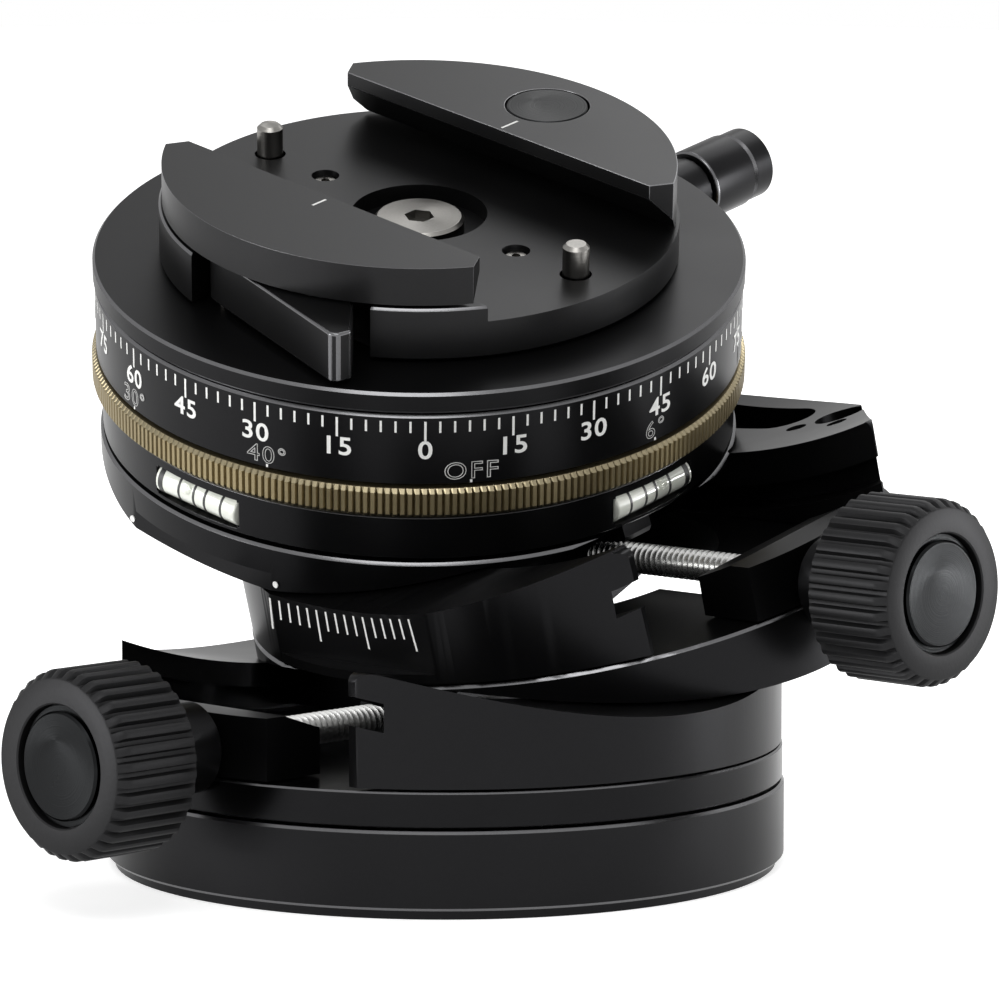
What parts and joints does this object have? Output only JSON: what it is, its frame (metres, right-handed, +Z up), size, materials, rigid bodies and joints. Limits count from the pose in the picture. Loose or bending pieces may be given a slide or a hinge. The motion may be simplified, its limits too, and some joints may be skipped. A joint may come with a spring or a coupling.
{
  "type": "tripod leveling head",
  "caption": "Geared tripod levelling head: arc-guided tilting stages with worm knobs, spirit vials, a click-stop pan drum and a lever-locked dovetail clamp.",
  "frame": {"origin": "centre of the foot's underside, on the tripod screw's axis", "axes": "+Z up along the base's axis; -Y is the side of the lower knob and +X the side of the upper knob; both stages are stored tilted by 15 degrees as pictured"},
  "size_m": [0.1101, 0.1267, 0.0872],
  "materials": {
    "black_anodised": "black anodised, satin",
    "black_turned_cap": "black anodised, finely turned",
    "black_knurled_grip": "black anodised, matt, ridged",
    "stainless_steel": "turned stainless steel",
    "worm_steel": "bright cut thread",
    "olive_bronze_ring": "olive bronze anodised, fine teeth",
    "vial_glass": "clear tube with pale liquid"
  },
  "bodies": {
    "base": {"base_disc": "black_anodised", "tripod_bush": "stainless_steel", "lower_plate": "black_anodised", "lower_wall_left": "black_anodised", "lower_wall_right": "black_anodised", "lower_bearing_block": "black_anodised"},
    "lower_drive": {"lower_worm": "worm_steel", "lower_knob_neck": "black_anodised", "lower_knob": "black_knurled_grip", "lower_knob_cap": "black_turned_cap"},
    "middle": {"middle_disc": "black_anodised", "middle_rail_left": "black_anodised", "middle_rail_right": "black_anodised", "middle_rack": "worm_steel", "upper_wall_front": "black_anodised", "upper_wall_rear": "black_anodised", "upper_bearing_block": "black_anodised", "upper_wall_screw_a": "stainless_steel", "upper_wall_screw_b": "stainless_steel"},
    "upper_drive": {"upper_worm": "worm_steel", "upper_knob_neck": "black_anodised", "upper_knob": "black_knurled_grip", "upper_knob_cap": "black_turned_cap"},
    "level": {"level_slab": "black_anodised", "level_rail_front": "black_anodised", "level_rail_rear": "black_anodised", "level_rack": "worm_steel", "vial_housing": "black_anodised", "vial_front": "vial_glass", "vial_side": "vial_glass", "scale_drum": "black_anodised"},
    "click_selector": {"click_ring": "olive_bronze_ring"},
    "pan_lock": {"pan_lock_screw": "black_anodised", "pan_lock_knob": "black_anodised", "pan_lock_cap": "black_turned_cap"},
    "pan_head": {"turning_plate": "black_anodised", "clamp_body": "black_anodised", "fixed_jaw": "black_anodised", "fixed_jaw_cap": "black_turned_cap", "centre_screw": "stainless_steel", "clamp_screw_a": "stainless_steel", "clamp_screw_b": "stainless_steel", "lever_pin": "stainless_steel"},
    "jaw": {"moving_jaw": "black_anodised"},
    "lever": {"clamp_lever": "black_anodised"},
    "pin_a": {"stop_pin_a": "stainless_steel"},
    "pin_b": {"stop_pin_b": "stainless_steel"}
  },
  "joints": [
    {"name": "lower_tilt", "type": "hinge", "parent": "base", "child": "middle", "pos_m": [0, 0, 0.1085], "axis": [1, 0, 0], "range_deg": [-30, 0]},
    {"name": "lower_knob_spin", "type": "hinge", "parent": "base", "child": "lower_drive", "pos_m": [0, 0, 0.0167], "axis": [0, -1, 0], "range_deg": [-4330, 0]},
    {"name": "upper_tilt", "type": "hinge", "parent": "middle", "child": "level", "pos_m": [0, -0.00366, 0.12217], "axis": [0, 0.9659, 0.2588], "range_deg": [-30, 0]},
    {"name": "upper_knob_spin", "type": "hinge", "parent": "middle", "child": "upper_drive", "pos_m": [0, 0.02033, 0.03263], "axis": [1, 0, 0], "range_deg": [-4370, 0]},
    {"name": "click_ring_turn", "type": "hinge", "parent": "level", "child": "click_selector", "pos_m": [-0.01932, 0.015, 0.05252], "axis": [0.2588, -0.25, 0.933], "continuous": true},
    {"name": "pan_turn", "type": "hinge", "parent": "level", "child": "pan_head", "pos_m": [-0.01609, 0.01188, 0.06418], "axis": [0.2588, -0.25, 0.933], "continuous": true},
    {"name": "pan_lock_turn", "type": "hinge", "parent": "level", "child": "pan_lock", "pos_m": [-0.01743, 0.04891, 0.06891], "axis": [0, 0.9659, 0.2588], "range_deg": [0, 180]},
    {"name": "lever_turn", "type": "hinge", "parent": "pan_head", "child": "lever", "pos_m": [-0.02109, -0.01344, 0.06168], "axis": [-0.2588, 0.25, -0.933], "range_deg": [-5, 64]},
    {"name": "jaw_slide", "type": "slide", "parent": "pan_head", "child": "jaw", "axis": [0, -0.9659, -0.2588], "range_m": [-0.00016, 0.00202]},
    {"name": "stop_pin_a_press", "type": "slide", "parent": "pan_head", "child": "pin_a", "axis": [-0.2588, 0.25, -0.933], "range_m": [0, 0.0032], "stiffness_N_per_m": 200, "springref_m": -0.002},
    {"name": "stop_pin_b_press", "type": "slide", "parent": "pan_head", "child": "pin_b", "axis": [-0.2588, 0.25, -0.933], "range_m": [0, 0.0032], "stiffness_N_per_m": 200, "springref_m": -0.002}
  ],
  "couplings": [
    {"joint": "lower_knob_spin", "follows": "lower_tilt", "ratio": 144.2},
    {"joint": "upper_knob_spin", "follows": "upper_tilt", "ratio": 145.6},
    {"joint": "lever_turn", "follows": "jaw_slide", "rad_per_m": 552.5}
  ]
}
